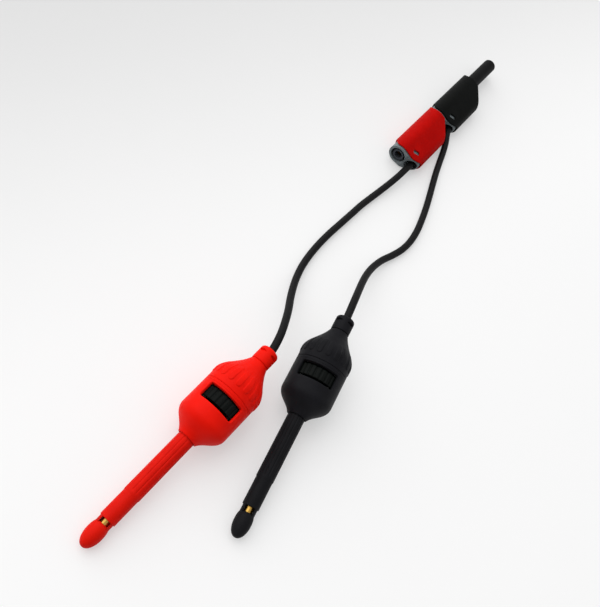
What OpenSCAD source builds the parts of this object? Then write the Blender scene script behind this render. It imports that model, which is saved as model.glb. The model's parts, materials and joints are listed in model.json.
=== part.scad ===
// A pair of thumbwheel test probes, red and black. Each hangs on its own lead,
// and the two leads end in stacked 4 mm safety plugs. Units are millimetres,
// +Y is the way the plugs point, +Z is up, and the origin lies on the table
// under the middle of the black plug.

/* [Probe tip] */
// Radius of the insulating tip cap
tip_r = 3.85; // [3.4:0.05:4.0]
// Length of the insulating tip cap
tip_len = 10.8; // [9:0.2:13]
// Open gap between the red tip cap and its barrel
red_gap = 1.9; // [1.8:0.1:2.4]
// Open gap between the black tip cap and its barrel
black_gap = 2.4; // [1.8:0.1:2.4]

/* [Barrel] */
// Radius of the plain front stretch of the barrel
plain_r = 3.75; // [3.6:0.05:3.9]
// Radius over the fluted stretch of the barrel
fluted_r = 3.95; // [3.9:0.01:4]
// Length of the plain front stretch
plain_len = 12.2; // [8:0.2:16]
// Number of flutes round the barrel
flutes = 12; // [8:1:14]
// Radius of the brass spindle
spindle_r = 1.95; // [1.8:0.05:1.95]

/* [Housing] */
// Radius of the bulb that holds the thumbwheel
bulb_r = 12; // [11.8:0.1:13]
// Half angle that each thumbwheel window spans, in degrees
window_half = 46; // [36:1:50]
// Width of the window along the probe
window_w = 7.2; // [6.8:0.1:7.5]
// Number of grip ribs round the rear cap
grip_ribs = 18; // [12:1:20]
// Height that the grip ribs stand out of the cap
rib_h = 0.45; // [0.2:0.05:0.5]

/* [Thumbwheel] */
// Radius over the ribs of the thumbwheel
wheel_r = 10.5; // [9.6:0.1:10.5]
// Width of the thumbwheel
wheel_w = 5.5; // [5:0.1:5.7]
// Number of ribs round the thumbwheel
wheel_ribs = 24; // [18:1:30]

/* [Cable] */
// Radius of the lead's cable
cable_r = 1.85; // [1.6:0.05:1.9]
// Radius of the cable collar
collar_r = 4.45; // [4.2:0.05:4.6]

/* [Plug] */
// Radius of the lobe that holds the rear socket
lobe1_r = 6.64; // [6.6:0.02:6.8]
// Radius of the lobe that takes the cable
lobe2_r = 5; // [4.9:0.05:5.2]
// Distance between the two lobe centres
lobe_gap = 8.7; // [8.4:0.1:9.2]
// Length of the plug body without its front skirt
body_len = 41.1; // [40.7:0.1:41.2]
// Distance from one plug to the next when they are stacked
pitch = 41.4; // [41.4:0.1:42]
// Length that the front skirt stands past the body
skirt_len = 4.3; // [3.8:0.1:4.5]
// Outer radius of the rigid contact shroud
shroud_r = 4; // [3.95:0.01:4.05]
// Length of the shroud past the plug body
shroud_len = 28.5; // [27:0.1:28.5]
// Radius of the 4 mm contact
contact_r = 1.98; // [1.97:0.01:1.99]

/* [Hidden] */
$fn = 64;

// Clearances
run_gap = 0.05;     // radial gap of a running fit
axial_gap = 0.1;    // gap beside the turning nut
snug = 0.02;        // gap between fixed pieces that sit in each other
body_gap = 0.3;     // gap between pieces that move past each other

// Stations along the probe, from the barrel's front rim towards the cable
nose_s = 42.5;
bulb_s = 52.4;
pin_s = 44;
boss_s = 45.4;
washer_t = 0.7;
nut_s = 57.2;
nut_len = 7.5;
window_s = 57.3;
wheel_s = 61.3;      // middle of the thumbwheel, near the rear of its window
seam_s = 65.45;
band_w = 1.3;
cap_s = seam_s + band_w + 0.05;
dome_s = 71.6;
neck_s = 86.1;
collar_s = 86.4;
collar_end = 93.95;
cord_s = 88;        // where the cable meets the contact socket
spindle_end = 81.1;
arm_end = 11.5;     // rear end of the tip cap's side arms
pocket_end = 13.4;  // rear end of the pockets they run in
sleeve_end = 30;
rib_s = 69.6;       // where the grip ribs start
rib_end = 78;
slot_s = 91.2;      // middle of the slots in the cable collar

// Housing
wall = 1.2;
cavity_r = bulb_r - wall;
window_corner = 1.1;
nose_r = 4.75;
neck_r = 4.35;
boss_r = 5.5;
nut_r = 4.2;
nut_flats = 7.2;
hub_r = 6;
hub_inset = 0.2;    // how far the wheel's hub stops short of the nut's ends
socket_out_r = 2.85;
sleeve_out_r = 2.6;
arm_r = 3.3;
key_r = 0.5;
rib_w = 2.4;
slot_half = 2.2;    // half the length of a collar slot
slot_half_w = 0.62;
slot_depth = 1.1;

// Thread of the spindle, drawn as rings
thread_pitch = 1;
thread_depth = 0.25;
thread_s = 56;
thread_len = 19;

// Plug stations, from the socket face towards the pin
wave_top = 0.9;     // rim of the shell over the top
wave_side = 8.1;    // rim of the shell at the sides and underneath
latch_turn = 32;    // slant of the latch window
shell_t = 0.65;
core_inset = shell_t + snug;
core_rear_inset = shell_t + body_gap;
core_step_y = 9.9;
core_len = 31;
annulus_r = 4.44;
annulus_y = 28.9;
liner_r = 3.26;
socket_r = contact_r + 0.04;
socket_out = 2.6;
bar_t = 1.6;
crimp_y = 20;
hole_r = 2.95;
pocket_r = 3.45;    // open pocket round the cable, behind the cable hole
pocket_y = 8;
mouth_r = 2.3;      // mouth of the liner, in front of the brass socket
mouth_y = 3.4;
socket_y = 3.5;
shroud_in_r = 3.42;
root_step = 0.25;   // how far the root of the shroud stands out
stud_r = 1.5;
pin_recess = 1.5;
lantern_y = 50;
lantern_len = 13;
chamfer_sum = 45.8; // the front corner is cut where x + y passes this
tangent_a = 90 + 2 * atan2(lobe2_r - lobe1_r, lobe_gap);

// Where the plugs lie
plug_x = -lobe_gap / 2;
black_y = -(body_len + skirt_len) / 2;
red_y = black_y - pitch;
hole_x = plug_x + lobe_gap;

// How each probe lies: where it touches the table, heading, roll and tip gap
red_pose = [18.6, -253.3, 89, -1, red_gap];
black_pose = [44.4, -213.6, 103.9, -12, black_gap];
touch_s = bulb_s - 0.8;
touch_r = bulb_r - 0.05;
tip_touch_s = 0.55 * tip_len;
tip_touch_r = tip_r - 0.12;

// Points along each free cable, between its two straight ends
red_route = [
    [17.5, -203, 18], [15, -195.5, 16], [12, -187.5, 12.6], [9, -180.5, 9],
    [6.2, -173.5, 6], [3.6, -166, 3.6], [1.5, -158, 2.2], [0.2, -149.5, 1.86],
    [-0.4, -140.5, 1.86], [-0.4, -131.5, 1.86], [0, -122.5, 1.86],
    [0.4, -113.5, 1.86], [0.8, -104.5, 1.86], [1.7, -95.5, 1.9],
    [2.7, -87, 2.4], [3.6, -79, 3.4], [4.2, -71, 4.6]
];
black_route = [
    [31.4, -162, 17.2], [29.9, -154.5, 14.4], [28.5, -146.5, 11],
    [27.6, -138.5, 7.6], [27.6, -130.5, 4.8], [28.7, -122.5, 2.9],
    [30.9, -115, 2], [32.7, -107.5, 1.86], [33.1, -99.5, 1.86],
    [32, -91, 1.86], [29.8, -82.5, 1.86], [27.1, -74, 1.86],
    [24, -65.5, 1.86], [20.9, -57.5, 1.86], [17.9, -49.5, 1.95],
    [15.2, -41.5, 2], [12.9, -34.6, 2.4], [10.2, -28.4, 3.4],
    [6.3, -21.6, 4.8]
];

// ---------------------------------------------------------------- helpers

// Points of a cubic curve from a to d, with b and c pulling it
function curve(a, b, c, d, n = 10) = [
    for (i = [0 : n]) let (t = i / n, u = 1 - t)
        u * u * u * a + 3 * u * u * t * b + 3 * u * t * t * c + t * t * t * d
];

// Profile points are written [s, r]; rotate_extrude wants [r, s]
function turned(points) = [for (p = points) [p.y, p.x]];

module revolve(points) {
    rotate_extrude() polygon(turned(points));
}

module rod(s0, s1, r) {
    translate([0, 0, s0]) cylinder(h = s1 - s0, r = r);
}

module tube(s0, s1, r_out, r_in) {
    difference() {
        rod(s0, s1, r_out);
        rod(s0 - 1, s1 + 1, r_in);
    }
}

function tilt_of(pose) =
    atan((touch_r - tip_touch_r) / (touch_s + tip_touch_s + pose[4]));

function heading(pose) = let (t = tilt_of(pose))
    [cos(pose[2]) * cos(t), sin(pose[2]) * cos(t), sin(t)];

// A point on the probe's centre line, in the shared frame
function probe_point(pose, s) =
    [pose.x, pose.y, touch_r * cos(tilt_of(pose))] + (s - touch_s) * heading(pose);

// Lays a probe piece, drawn along +Z, on the table
module at_probe(pose) {
    translate(probe_point(pose, 0))
        rotate([0, 0, pose[2]])
            rotate([0, 90 - tilt_of(pose), 0])
                rotate([0, 0, pose[3]])
                    children();
}

// The tip cap and spindle stand forward by the tip gap
module at_tip(pose) {
    at_probe(pose) translate([0, 0, -pose[4]]) children();
}

// A round bar along +Y
module bar_y(y0, y1, r, x = 0, z = lobe1_r) {
    translate([x, y1, z]) rotate([90, 0, 0]) cylinder(h = y1 - y0, r = r);
}

// Points on an arc round a centre, from angle a0 to a1
function arc(centre, r, a0, a1, n) = [
    for (i = [0 : n]) let (a = a0 + (a1 - a0) * i / n) centre + r * [cos(a), sin(a)]
];

// The plug's two-lobed outline, drawn in by inset
module lobes(inset) {
    polygon(concat(
        arc([0, lobe1_r], lobe1_r - inset, tangent_a, 270, 26),
        arc([lobe_gap, lobe2_r], lobe2_r - inset, -90, tangent_a, 20)
    ));
}

module lobe_bar(y0, y1, inset) {
    translate([0, y1, 0]) rotate([90, 0, 0]) linear_extrude(y1 - y0) lobes(inset);
}

// Cuts the front corner away on the cable side
module front_corner() {
    translate([0, 0, -1])
        linear_extrude(2 * lobe1_r + 2)
            polygon([
                [chamfer_sum - 60, 60], [30, 60], [30, chamfer_sum - 30]
            ]);
}

// How far the wavy rim has come from top (0) to side (1) at height z; it stays there below
function wave(z) = z < lobe1_r ? 1 : 0.5 + 0.5 * cos(180 * (z - lobe1_r) / lobe1_r);

// Side view of the shell: wavy at the rear rim and at the front skirt
module side_view() {
    n = 14;
    top = 2 * lobe1_r;
    zs = [for (i = [0 : n]) lobe1_r + (top - lobe1_r) * i / n];
    polygon(concat(
        [[wave_side, -1]],
        [for (z = zs) [wave_top + (wave_side - wave_top) * wave(z), z]],
        [[wave_top, top + 1], [body_len, top + 1]],
        [for (i = [n : -1 : 0]) [body_len + skirt_len * wave(zs[i]), zs[i]]],
        [[body_len + skirt_len, -1]]
    ));
}

// The latch window in the shell, lying on the flat between the lobes
module latch_block(len, width, height) {
    translate([6.9, 6, 11])
        rotate([0, 90 - tangent_a, 0])
            rotate([0, 0, latch_turn])
                cube([len, width, height], center = true);
}

// ---------------------------------------------------------------- probe

// The tip cap's two side arms, or the pockets for them, that much larger all round
module arms(s0, s1, larger = 0) {
    slot = spindle_r + run_gap - larger;
    difference() {
        rod(s0, s1, arm_r + larger);
        translate([-arm_r - 1, -slot, s0 - 1]) cube([2 * arm_r + 2, 2 * slot, s1 - s0 + 2]);
    }
}

module tip_cap() {
    belly = -0.39 * tip_len;
    difference() {
        revolve(concat(
            curve([-tip_len, 0], [-tip_len, 2.6], [-0.68 * tip_len, tip_r],
                  [belly, tip_r]),
            curve([belly, tip_r], [-1.6, tip_r], [0, 3.3], [0, 2.5], 8),
            [[0, 0]]
        ));
        rod(-6.5, 1, stud_r + snug);
    }
    arms(-1.2, arm_end);
}

module spindle() {
    rings = thread_len / thread_pitch;
    root = spindle_r - thread_depth;
    difference() {
        revolve(concat(
            [[-6.5, 0], [-6.5, stud_r], [0, stud_r], [0, spindle_r]],
            [for (i = [0 : rings - 1], step = [0, 0.5])
                [thread_s + (i + step) * thread_pitch, step == 0 ? spindle_r : root]],
            [[thread_s + thread_len, spindle_r], [spindle_end + 1.6, spindle_r],
             [spindle_end + 2, spindle_r - 0.4], [spindle_end + 2, 0]]
        ));
        // keyway that keeps the spindle from turning
        translate([1.15, -key_r - body_gap / 2, 43])
            cube([2, 2 * key_r + body_gap, 12.6]);
    }
}

module barrel() {
    back = nut_s - axial_gap - washer_t;
    difference() {
        revolve([
            [0, 0], [0, plain_r - 0.35], [0.35, plain_r], [plain_len, plain_r],
            [plain_len + 0.4, fluted_r], [boss_s, fluted_r], [boss_s, boss_r],
            [back, boss_r], [back, 0]
        ]);
        rod(-1, nut_s, sleeve_out_r + snug);
        arms(-1, pocket_end, run_gap);
        for (i = [0 : flutes - 1])
            rotate([0, 0, 360 * (i + 0.5) / flutes])
                translate([fluted_r + 0.3, 0, plain_len + 1.2])
                    cylinder(h = nose_s - plain_len, r = 0.6);
        translate([0, 0, pin_s]) rotate([0, 90, 0]) cylinder(h = 6, r = key_r + snug);
    }
}

module guide_sleeve() {
    tube(pocket_end + 0.2, sleeve_end, sleeve_out_r, spindle_r + run_gap);
}

module key_pin() {
    translate([1.4, 0, pin_s]) rotate([0, 90, 0]) cylinder(h = fluted_r - 1.5, r = key_r);
}

// A wedge that reaches from the axis past the bulb, half_a each side of -X
module window_wedge(half_a, width) {
    far = 2 * bulb_r;
    linear_extrude(width)
        polygon([
            [0, 0], [-far * cos(half_a), far * sin(half_a)], [-far, 0],
            [-far * cos(half_a), -far * sin(half_a)]
        ]);
}

// Cutter for one window with rounded corners, from its front edge at Z = 0
module window_cutter() {
    corner_a = asin(window_corner / (bulb_r + 0.5));
    difference() {
        union() {
            window_wedge(window_half - corner_a, window_w);
            translate([0, 0, window_corner])
                window_wedge(window_half, window_w - 2 * window_corner);
            for (a = [-1, 1] * (window_half - corner_a), z = [window_corner, window_w - window_corner])
                translate([0, 0, z])
                    rotate([0, 0, a])
                        rotate([0, -90, 0]) cylinder(h = 2 * bulb_r, r = window_corner);
        }
        cylinder(h = 3 * window_w, r = cavity_r - 1, center = true);
    }
}

module front_housing() {
    difference() {
        revolve(concat(
            [[nose_s, 0]],
            [[nose_s, nose_r]],
            curve([nose_s + 0.3, nose_r + 0.1], [nose_s + 4, 7], [bulb_s - 4.6, bulb_r],
                  [bulb_s, bulb_r], 16),
            [[seam_s, bulb_r], [seam_s, 0]]
        ));
        rod(nose_s - 1, seam_s + 1, fluted_r + snug);
        rod(boss_s, seam_s + 1, boss_r + snug);
        revolve([[51.5, 0], [51.5, 8.6], [54, cavity_r], [seam_s + 1, cavity_r],
                 [seam_s + 1, 0]]);
        for (side = [0, 180])
            rotate([0, 0, side]) translate([0, 0, window_s]) window_cutter();
    }
}

module thumbwheel() {
    s0 = wheel_s - wheel_w / 2;
    s1 = wheel_s + wheel_w / 2;
    hub_s0 = nut_s + hub_inset;
    hub_s1 = nut_s + nut_len - hub_inset;
    difference() {
        union() {
            revolve([
                [s0, 0], [s0, wheel_r - 0.5], [s0 + 0.5, wheel_r], [s1 - 0.5, wheel_r],
                [s1, wheel_r - 0.5], [s1, 0]
            ]);
            rod(hub_s0, hub_s1, hub_r);
        }
        for (i = [0 : wheel_ribs - 1])
            rotate([0, 0, 360 * (i + 0.5) / wheel_ribs])
                translate([wheel_r + 0.25, 0, s0 - 1])
                    cylinder(h = wheel_w + 2, r = 0.7, $fn = 24);
        translate([0, 0, nut_s - 1]) nut_shape(nut_r + snug, nut_flats + 2 * snug, nut_len + 2);
        for (s = [s0 - 1, s1 - 1.2])
            tube(s, s + 2.2, wheel_r - 2, hub_r);
    }
}

// A round bar with two flats
module nut_shape(r, flats, len) {
    intersection() {
        cylinder(h = len, r = r);
        translate([-2 * r, -flats / 2, 0]) cube([4 * r, flats, len]);
    }
}

module drive_nut() {
    difference() {
        translate([0, 0, nut_s]) nut_shape(nut_r, nut_flats, nut_len);
        rod(nut_s - 1, nut_s + nut_len + 1, spindle_r + run_gap);
    }
}

module front_washer() {
    tube(nut_s - axial_gap - washer_t, nut_s - axial_gap, boss_r, spindle_r + body_gap);
}

module rear_washer() {
    tube(nut_s + nut_len + axial_gap, nut_s + nut_len + axial_gap + washer_t,
         boss_r, spindle_r + body_gap);
}

// The band between housing and cap, with a spigot that centres both
module lock_ring() {
    difference() {
        union() {
            revolve([
                [seam_s, 0], [seam_s, bulb_r - 0.25], [seam_s + 0.25, bulb_r],
                [seam_s + band_w - 0.25, bulb_r], [seam_s + band_w, bulb_r - 0.25],
                [seam_s + band_w, 0]
            ]);
            rod(seam_s - 1, seam_s + band_w + 2, cavity_r - snug);
        }
        rod(seam_s - 2, seam_s + band_w + 3, cavity_r - wall);
    }
}

// Outer profile of the rear cap, raised by lift
function cap_curve(lift) = curve(
    [dome_s, bulb_r + lift], [dome_s + 4.6, bulb_r + lift], [dome_s + 8, 6.2 + lift],
    [neck_s, neck_r + lift], 16
);

// A bar that stands out from the axis towards -X, with round ends along the probe
module grip_rib() {
    end_r = rib_w / 2;
    rotate([0, -90, 0])
        linear_extrude(bulb_r + 1) {
            translate([rib_s + end_r, -end_r]) square([rib_end - rib_s - rib_w, rib_w]);
            for (s = [rib_s + end_r, rib_end - end_r])
                translate([s, 0]) circle(r = end_r);
        }
}

module rear_cap() {
    boss_out = socket_out_r + 1.3;
    difference() {
        union() {
            revolve(concat(
                [[cap_s, 0], [cap_s, bulb_r - 0.25], [cap_s + 0.25, bulb_r]],
                cap_curve(0), [[neck_s, 0]]
            ));
            // grip ribs with round ends
            intersection() {
                revolve(concat([[rib_s, 0], [rib_s, bulb_r - 0.2], [rib_s + 0.6, bulb_r + rib_h]],
                               cap_curve(rib_h), [[neck_s, 0]]));
                for (i = [0 : grip_ribs - 1])
                    rotate([0, 0, 360 * i / grip_ribs]) grip_rib();
            }
        }
        revolve(concat([[cap_s - 1, 0], [cap_s - 1, cavity_r], [dome_s - 1, cavity_r]],
                       curve([dome_s - 1, cavity_r], [dome_s + 3.5, cavity_r],
                             [dome_s + 6.5, 5.6], [neck_s - 3, 0], 10)));
        rod(cap_s - 1, collar_s + 1, socket_out_r + snug);
    }
    // tube that holds the contact socket and backs the rear washer
    tube(nut_s + nut_len + axial_gap + washer_t, dome_s + 8, boss_out,
         socket_out_r + snug);
}

module contact_socket() {
    back = cord_s - 3.5;
    difference() {
        revolve([
            [69, 0], [69, socket_out_r], [back, socket_out_r], [back, cable_r - 0.2],
            [cord_s, cable_r - 0.2], [cord_s, 0]
        ]);
        rod(68, back - 0.8, spindle_r + run_gap);
    }
}

// A lens: two arcs that meet at both ends
module lens(half_len, half_w) {
    swing = (half_len * half_len + half_w * half_w) / (2 * half_w);
    intersection() {
        translate([0, swing - half_w]) circle(r = swing);
        translate([0, half_w - swing]) circle(r = swing);
    }
}

module cable_collar() {
    round_r = 2.4;
    difference() {
        revolve(concat(
            [[neck_s, 0], [neck_s, collar_r - 0.5], [collar_s, collar_r - 0.5],
             [collar_s, collar_r]],
            [for (a = [0 : 15 : 75])
                [collar_end - round_r + round_r * sin(a),
                 collar_r - round_r + round_r * cos(a)]],
            [[collar_end, collar_r - round_r], [collar_end, 0]]
        ));
        rod(neck_s - 1, collar_end + 1, cable_r + 0.1);
        for (a = [45 : 90 : 315])
            rotate([0, 0, a])
                translate([collar_r - slot_depth, 0, slot_s])
                    rotate([90, 0, 90]) linear_extrude(2) lens(slot_half, slot_half_w);
    }
}

// ---------------------------------------------------------------- plug

module plug_shell() {
    difference() {
        intersection() {
            difference() {
                lobe_bar(-1, body_len + skirt_len + 1, 0);
                lobe_bar(-2, body_len + skirt_len + 2, shell_t);
            }
            translate([-lobe1_r - 1, 0, 0])
                rotate([90, 0, 90])
                    linear_extrude(lobe1_r + lobe_gap + lobe2_r + 2) side_view();
        }
        front_corner();
        latch_block(3.9, 1.5, 3);
    }
}

module plug_core() {
    difference() {
        union() {
            lobe_bar(0, core_step_y, core_rear_inset);
            lobe_bar(core_step_y, core_len, core_inset);
            translate([-1.2, -0.5, -1.8]) latch_block(2, 1.1, 3);
        }
        bar_y(-1, annulus_y, annulus_r);
        bar_y(-1, core_len + 1, socket_out + snug);
        bar_y(-1, core_len + 1, hole_r, lobe_gap, lobe2_r);
        bar_y(-1, pocket_y, pocket_r, lobe_gap, lobe2_r);
        // the face falls back on the cable side
        translate([0, 0, -1])
            linear_extrude(2 * lobe1_r + 2)
                polygon([[4.4, -1], [4.4, 0], [14.4, 5.4], [14.4, -1]]);
    }
}

module plug_shroud() {
    y0 = core_len + bar_t;
    difference() {
        union() {
            difference() {
                lobe_bar(y0, body_len, core_inset);
                front_corner();
            }
            bar_y(body_len - 1, body_len + shroud_len, shroud_r);
            bar_y(body_len - 1, body_len + skirt_len, shroud_r + root_step);
        }
        bar_y(body_len, body_len + shroud_len + 1, shroud_in_r);
        bar_y(y0 - 1, y0 + 1.5, 3 + snug);
        bar_y(y0, body_len + 1, contact_r + snug);
    }
}

module plug_pin() {
    y0 = core_len + bar_t;
    tip = body_len + shroud_len - pin_recess;
    translate([0, 0, lobe1_r]) rotate([-90, 0, 0])
        revolve([
            [y0 - 3, 0], [y0 - 3, stud_r - snug], [y0, stud_r - snug], [y0, 3],
            [y0 + 1.4, 3], [y0 + 1.4, contact_r], [lantern_y, contact_r],
            [lantern_y, 1.55], [lantern_y + lantern_len, 1.55],
            [lantern_y + lantern_len, contact_r], [tip - 1, contact_r],
            [tip, contact_r - 1], [tip, 0]
        ]);
}

module plug_lantern() {
    slots = 8;
    translate([0, 0, lobe1_r]) rotate([-90, 0, 0])
        difference() {
            tube(lantern_y + snug, lantern_y + lantern_len - snug, contact_r, 1.57);
            for (i = [0 : slots - 1])
                rotate([0, 0, 360 * i / slots])
                    translate([1, -0.2, lantern_y + 1.5])
                        cube([2, 0.4, lantern_len - 3]);
        }
}

module plug_socket() {
    difference() {
        bar_y(socket_y, core_len, socket_out);
        bar_y(0, 28.4, socket_r);
        bar_y(28, core_len + 1, stud_r);
    }
}

module plug_liner() {
    difference() {
        bar_y(0.4, annulus_y, liner_r);
        bar_y(-1, annulus_y, mouth_r);
        bar_y(mouth_y, annulus_y + 1, socket_out + snug);
    }
}

module plug_bus_bar() {
    translate([0, core_len + bar_t, 0]) rotate([90, 0, 0])
        linear_extrude(bar_t)
            difference() {
                union() {
                    translate([0, lobe1_r]) circle(r = 3);
                    translate([lobe_gap, lobe2_r]) circle(r = 2.4);
                    translate([0, lobe1_r - 2.9]) square([lobe_gap, 3.4]);
                }
                translate([0, lobe1_r]) circle(r = stud_r);
            }
}

module plug_crimp() {
    difference() {
        bar_y(crimp_y, core_len, 2.2, lobe_gap, lobe2_r);
        bar_y(crimp_y - 1, crimp_y + 6, 1.3, lobe_gap, lobe2_r);
    }
}

// ---------------------------------------------------------------- cables

function unit(v) = v / norm(v);

// A tube of eight sides swept along the points
module cord(points) {
    sides = 8;
    last = len(points) - 1;
    tangents = [
        for (i = [0 : last])
            unit(points[min(i + 1, last)] - points[max(i - 1, 0)])
    ];
    rings = [
        for (i = [0 : last])
            let (side = unit(cross(tangents[i], [0, 0, 1])),
                 up = cross(side, tangents[i]))
            for (k = [0 : sides - 1])
                let (a = 360 * (k + 0.5) / sides)
                points[i] + cable_r * (cos(a) * side + sin(a) * up)
    ];
    polyhedron(rings, concat(
        [[for (k = [0 : sides - 1]) k]],
        [for (i = [0 : last - 1], k = [0 : sides - 1])
            let (n = (k + 1) % sides)
            [i * sides + k, (i + 1) * sides + k, (i + 1) * sides + n, i * sides + n]],
        [[for (k = [sides - 1 : -1 : 0]) last * sides + k]]
    ));
}

// Whole route: straight out of the probe, along the table, straight into the plug
function whole_route(pose, route, plug_y) = concat(
    [probe_point(pose, cord_s), probe_point(pose, collar_end + 0.5)],
    route,
    [[hole_x, plug_y + 8, lobe2_r], [hole_x, plug_y + crimp_y, lobe2_r]]
);

// ---------------------------------------------------------------- assembly

module at_plug(y) {
    translate([plug_x, y, 0]) children();
}

red = [0.85, 0.1, 0.07];
black = [0.11, 0.11, 0.12];
brass = [0.78, 0.6, 0.28];
steel = [0.7, 0.71, 0.73];
nylon = [0.88, 0.87, 0.83];
grey = [0.4, 0.43, 0.46];
color(red) at_tip(red_pose) tip_cap();  // red_tip_cap
color(brass) at_tip(red_pose) spindle();  // red_spindle
color(red) at_probe(red_pose) barrel();  // red_barrel
color(brass) at_probe(red_pose) guide_sleeve();  // red_guide_sleeve
color(steel) at_probe(red_pose) key_pin();  // red_key_pin
color(red) at_probe(red_pose) front_housing();  // red_front_housing
color(black) at_probe(red_pose) thumbwheel();  // red_thumbwheel
color(brass) at_probe(red_pose) drive_nut();  // red_drive_nut
color(nylon) at_probe(red_pose) front_washer();  // red_front_washer
color(nylon) at_probe(red_pose) rear_washer();  // red_rear_washer
color(red) at_probe(red_pose) lock_ring();  // red_lock_ring
color(red) at_probe(red_pose) rear_cap();  // red_rear_cap
color(brass) at_probe(red_pose) contact_socket();  // red_contact_socket
color(red) at_probe(red_pose) cable_collar();  // red_cable_collar
color(black) cord(whole_route(red_pose, red_route, red_y));  // red_cord
color(red) at_plug(red_y) plug_shell();  // red_plug_shell
color(grey) at_plug(red_y) plug_core();  // red_plug_core
color(black) at_plug(red_y) plug_shroud();  // red_plug_shroud
color(brass) at_plug(red_y) plug_pin();  // red_plug_pin
color(brass) at_plug(red_y) plug_lantern();  // red_plug_lantern
color(brass) at_plug(red_y) plug_socket();  // red_plug_socket
color(grey) at_plug(red_y) plug_liner();  // red_plug_liner
color(brass) at_plug(red_y) plug_bus_bar();  // red_plug_bus_bar
color(brass) at_plug(red_y) plug_crimp();  // red_plug_crimp
color(black) at_tip(black_pose) tip_cap();  // black_tip_cap
color(brass) at_tip(black_pose) spindle();  // black_spindle
color(black) at_probe(black_pose) barrel();  // black_barrel
color(brass) at_probe(black_pose) guide_sleeve();  // black_guide_sleeve
color(steel) at_probe(black_pose) key_pin();  // black_key_pin
color(black) at_probe(black_pose) front_housing();  // black_front_housing
color(black) at_probe(black_pose) thumbwheel();  // black_thumbwheel
color(brass) at_probe(black_pose) drive_nut();  // black_drive_nut
color(nylon) at_probe(black_pose) front_washer();  // black_front_washer
color(nylon) at_probe(black_pose) rear_washer();  // black_rear_washer
color(black) at_probe(black_pose) lock_ring();  // black_lock_ring
color(black) at_probe(black_pose) rear_cap();  // black_rear_cap
color(brass) at_probe(black_pose) contact_socket();  // black_contact_socket
color(black) at_probe(black_pose) cable_collar();  // black_cable_collar
color(black) cord(whole_route(black_pose, black_route, black_y));  // black_cord
color(black) at_plug(black_y) plug_shell();  // black_plug_shell
color(grey) at_plug(black_y) plug_core();  // black_plug_core
color(black) at_plug(black_y) plug_shroud();  // black_plug_shroud
color(brass) at_plug(black_y) plug_pin();  // black_plug_pin
color(brass) at_plug(black_y) plug_lantern();  // black_plug_lantern
color(brass) at_plug(black_y) plug_socket();  // black_plug_socket
color(grey) at_plug(black_y) plug_liner();  // black_plug_liner
color(brass) at_plug(black_y) plug_bus_bar();  // black_plug_bus_bar
color(brass) at_plug(black_y) plug_crimp();  // black_plug_crimp
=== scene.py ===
"""The looks of a pair of thumbwheel test probes, red and black, on their leads."""

import bmesh
import bpy
import json
import math
from mathutils import Matrix, Vector

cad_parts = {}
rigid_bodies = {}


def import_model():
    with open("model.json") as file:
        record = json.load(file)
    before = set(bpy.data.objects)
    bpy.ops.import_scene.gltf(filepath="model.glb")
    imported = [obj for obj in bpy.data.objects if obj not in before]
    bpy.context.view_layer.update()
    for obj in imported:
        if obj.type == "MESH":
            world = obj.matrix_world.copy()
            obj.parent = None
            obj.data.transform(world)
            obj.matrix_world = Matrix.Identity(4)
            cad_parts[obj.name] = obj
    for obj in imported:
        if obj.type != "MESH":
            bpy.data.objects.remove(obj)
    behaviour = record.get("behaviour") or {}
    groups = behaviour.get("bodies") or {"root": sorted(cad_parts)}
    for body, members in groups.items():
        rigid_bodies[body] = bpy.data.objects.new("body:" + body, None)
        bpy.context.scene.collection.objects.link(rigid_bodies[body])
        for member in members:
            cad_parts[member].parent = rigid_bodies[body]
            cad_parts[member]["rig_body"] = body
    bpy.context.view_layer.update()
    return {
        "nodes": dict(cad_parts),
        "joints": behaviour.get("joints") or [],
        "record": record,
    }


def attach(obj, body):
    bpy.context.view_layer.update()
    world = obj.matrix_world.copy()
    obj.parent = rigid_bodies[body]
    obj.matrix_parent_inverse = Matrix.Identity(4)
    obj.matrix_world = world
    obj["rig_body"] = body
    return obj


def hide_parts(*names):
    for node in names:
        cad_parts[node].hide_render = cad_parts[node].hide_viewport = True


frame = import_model()
nodes = frame["nodes"]
joints = {joint["name"]: joint for joint in frame["joints"]}

MM = 0.001
COLOURS = ("red", "black")

# ------------------------------------------------------------------ camera

PHOTO_W, PHOTO_H = 600, 607
FOCAL_PX = 692.16
SENSOR_MM = 36.0
CAMERA_AT = (0.02118, -0.34370, 0.28745)
CAMERA_RIGHT = Vector((0.73051, 0.59591, 0.33352))
CAMERA_UP = Vector((-0.68251, 0.62062, 0.38604))


def make_camera():
    data = bpy.data.cameras.new("camera")
    data.sensor_width = SENSOR_MM
    data.lens = FOCAL_PX * SENSOR_MM / max(PHOTO_W, PHOTO_H)
    data.clip_start = 0.01
    camera = bpy.data.objects.new("camera", data)
    bpy.context.scene.collection.objects.link(camera)
    turn = Matrix((CAMERA_RIGHT, CAMERA_UP, CAMERA_RIGHT.cross(CAMERA_UP))).transposed()
    camera.matrix_world = Matrix.Translation(CAMERA_AT) @ turn.to_4x4()
    bpy.context.scene.camera = camera


make_camera()

# ------------------------------------------------------------------ where the probes lie

JOINT_S = 60.9            # millimetres from the barrel's rim to the wheel joint's place
ROLL = {"red": -1, "black": -12}
TIP_GAP = {"red": 1.9, "black": 2.4}


def probe_matrix(colour, slide=0.0):
    """Frame of a probe: +Z runs along it from the barrel's rim, and -X is its top."""
    joint = joints[colour + "_thumbwheel_turn"]
    heading = Vector(joint["axis"]).normalized()
    rim = Vector(joint["pos_m"]) - heading * (JOINT_S + slide) * MM
    azimuth = math.atan2(heading.y, heading.x)
    tilt = math.asin(heading.z)
    return (Matrix.Translation(rim) @ Matrix.Rotation(azimuth, 4, "Z")
            @ Matrix.Rotation(math.pi / 2 - tilt, 4, "Y")
            @ Matrix.Rotation(math.radians(ROLL[colour]), 4, "Z"))


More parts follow.
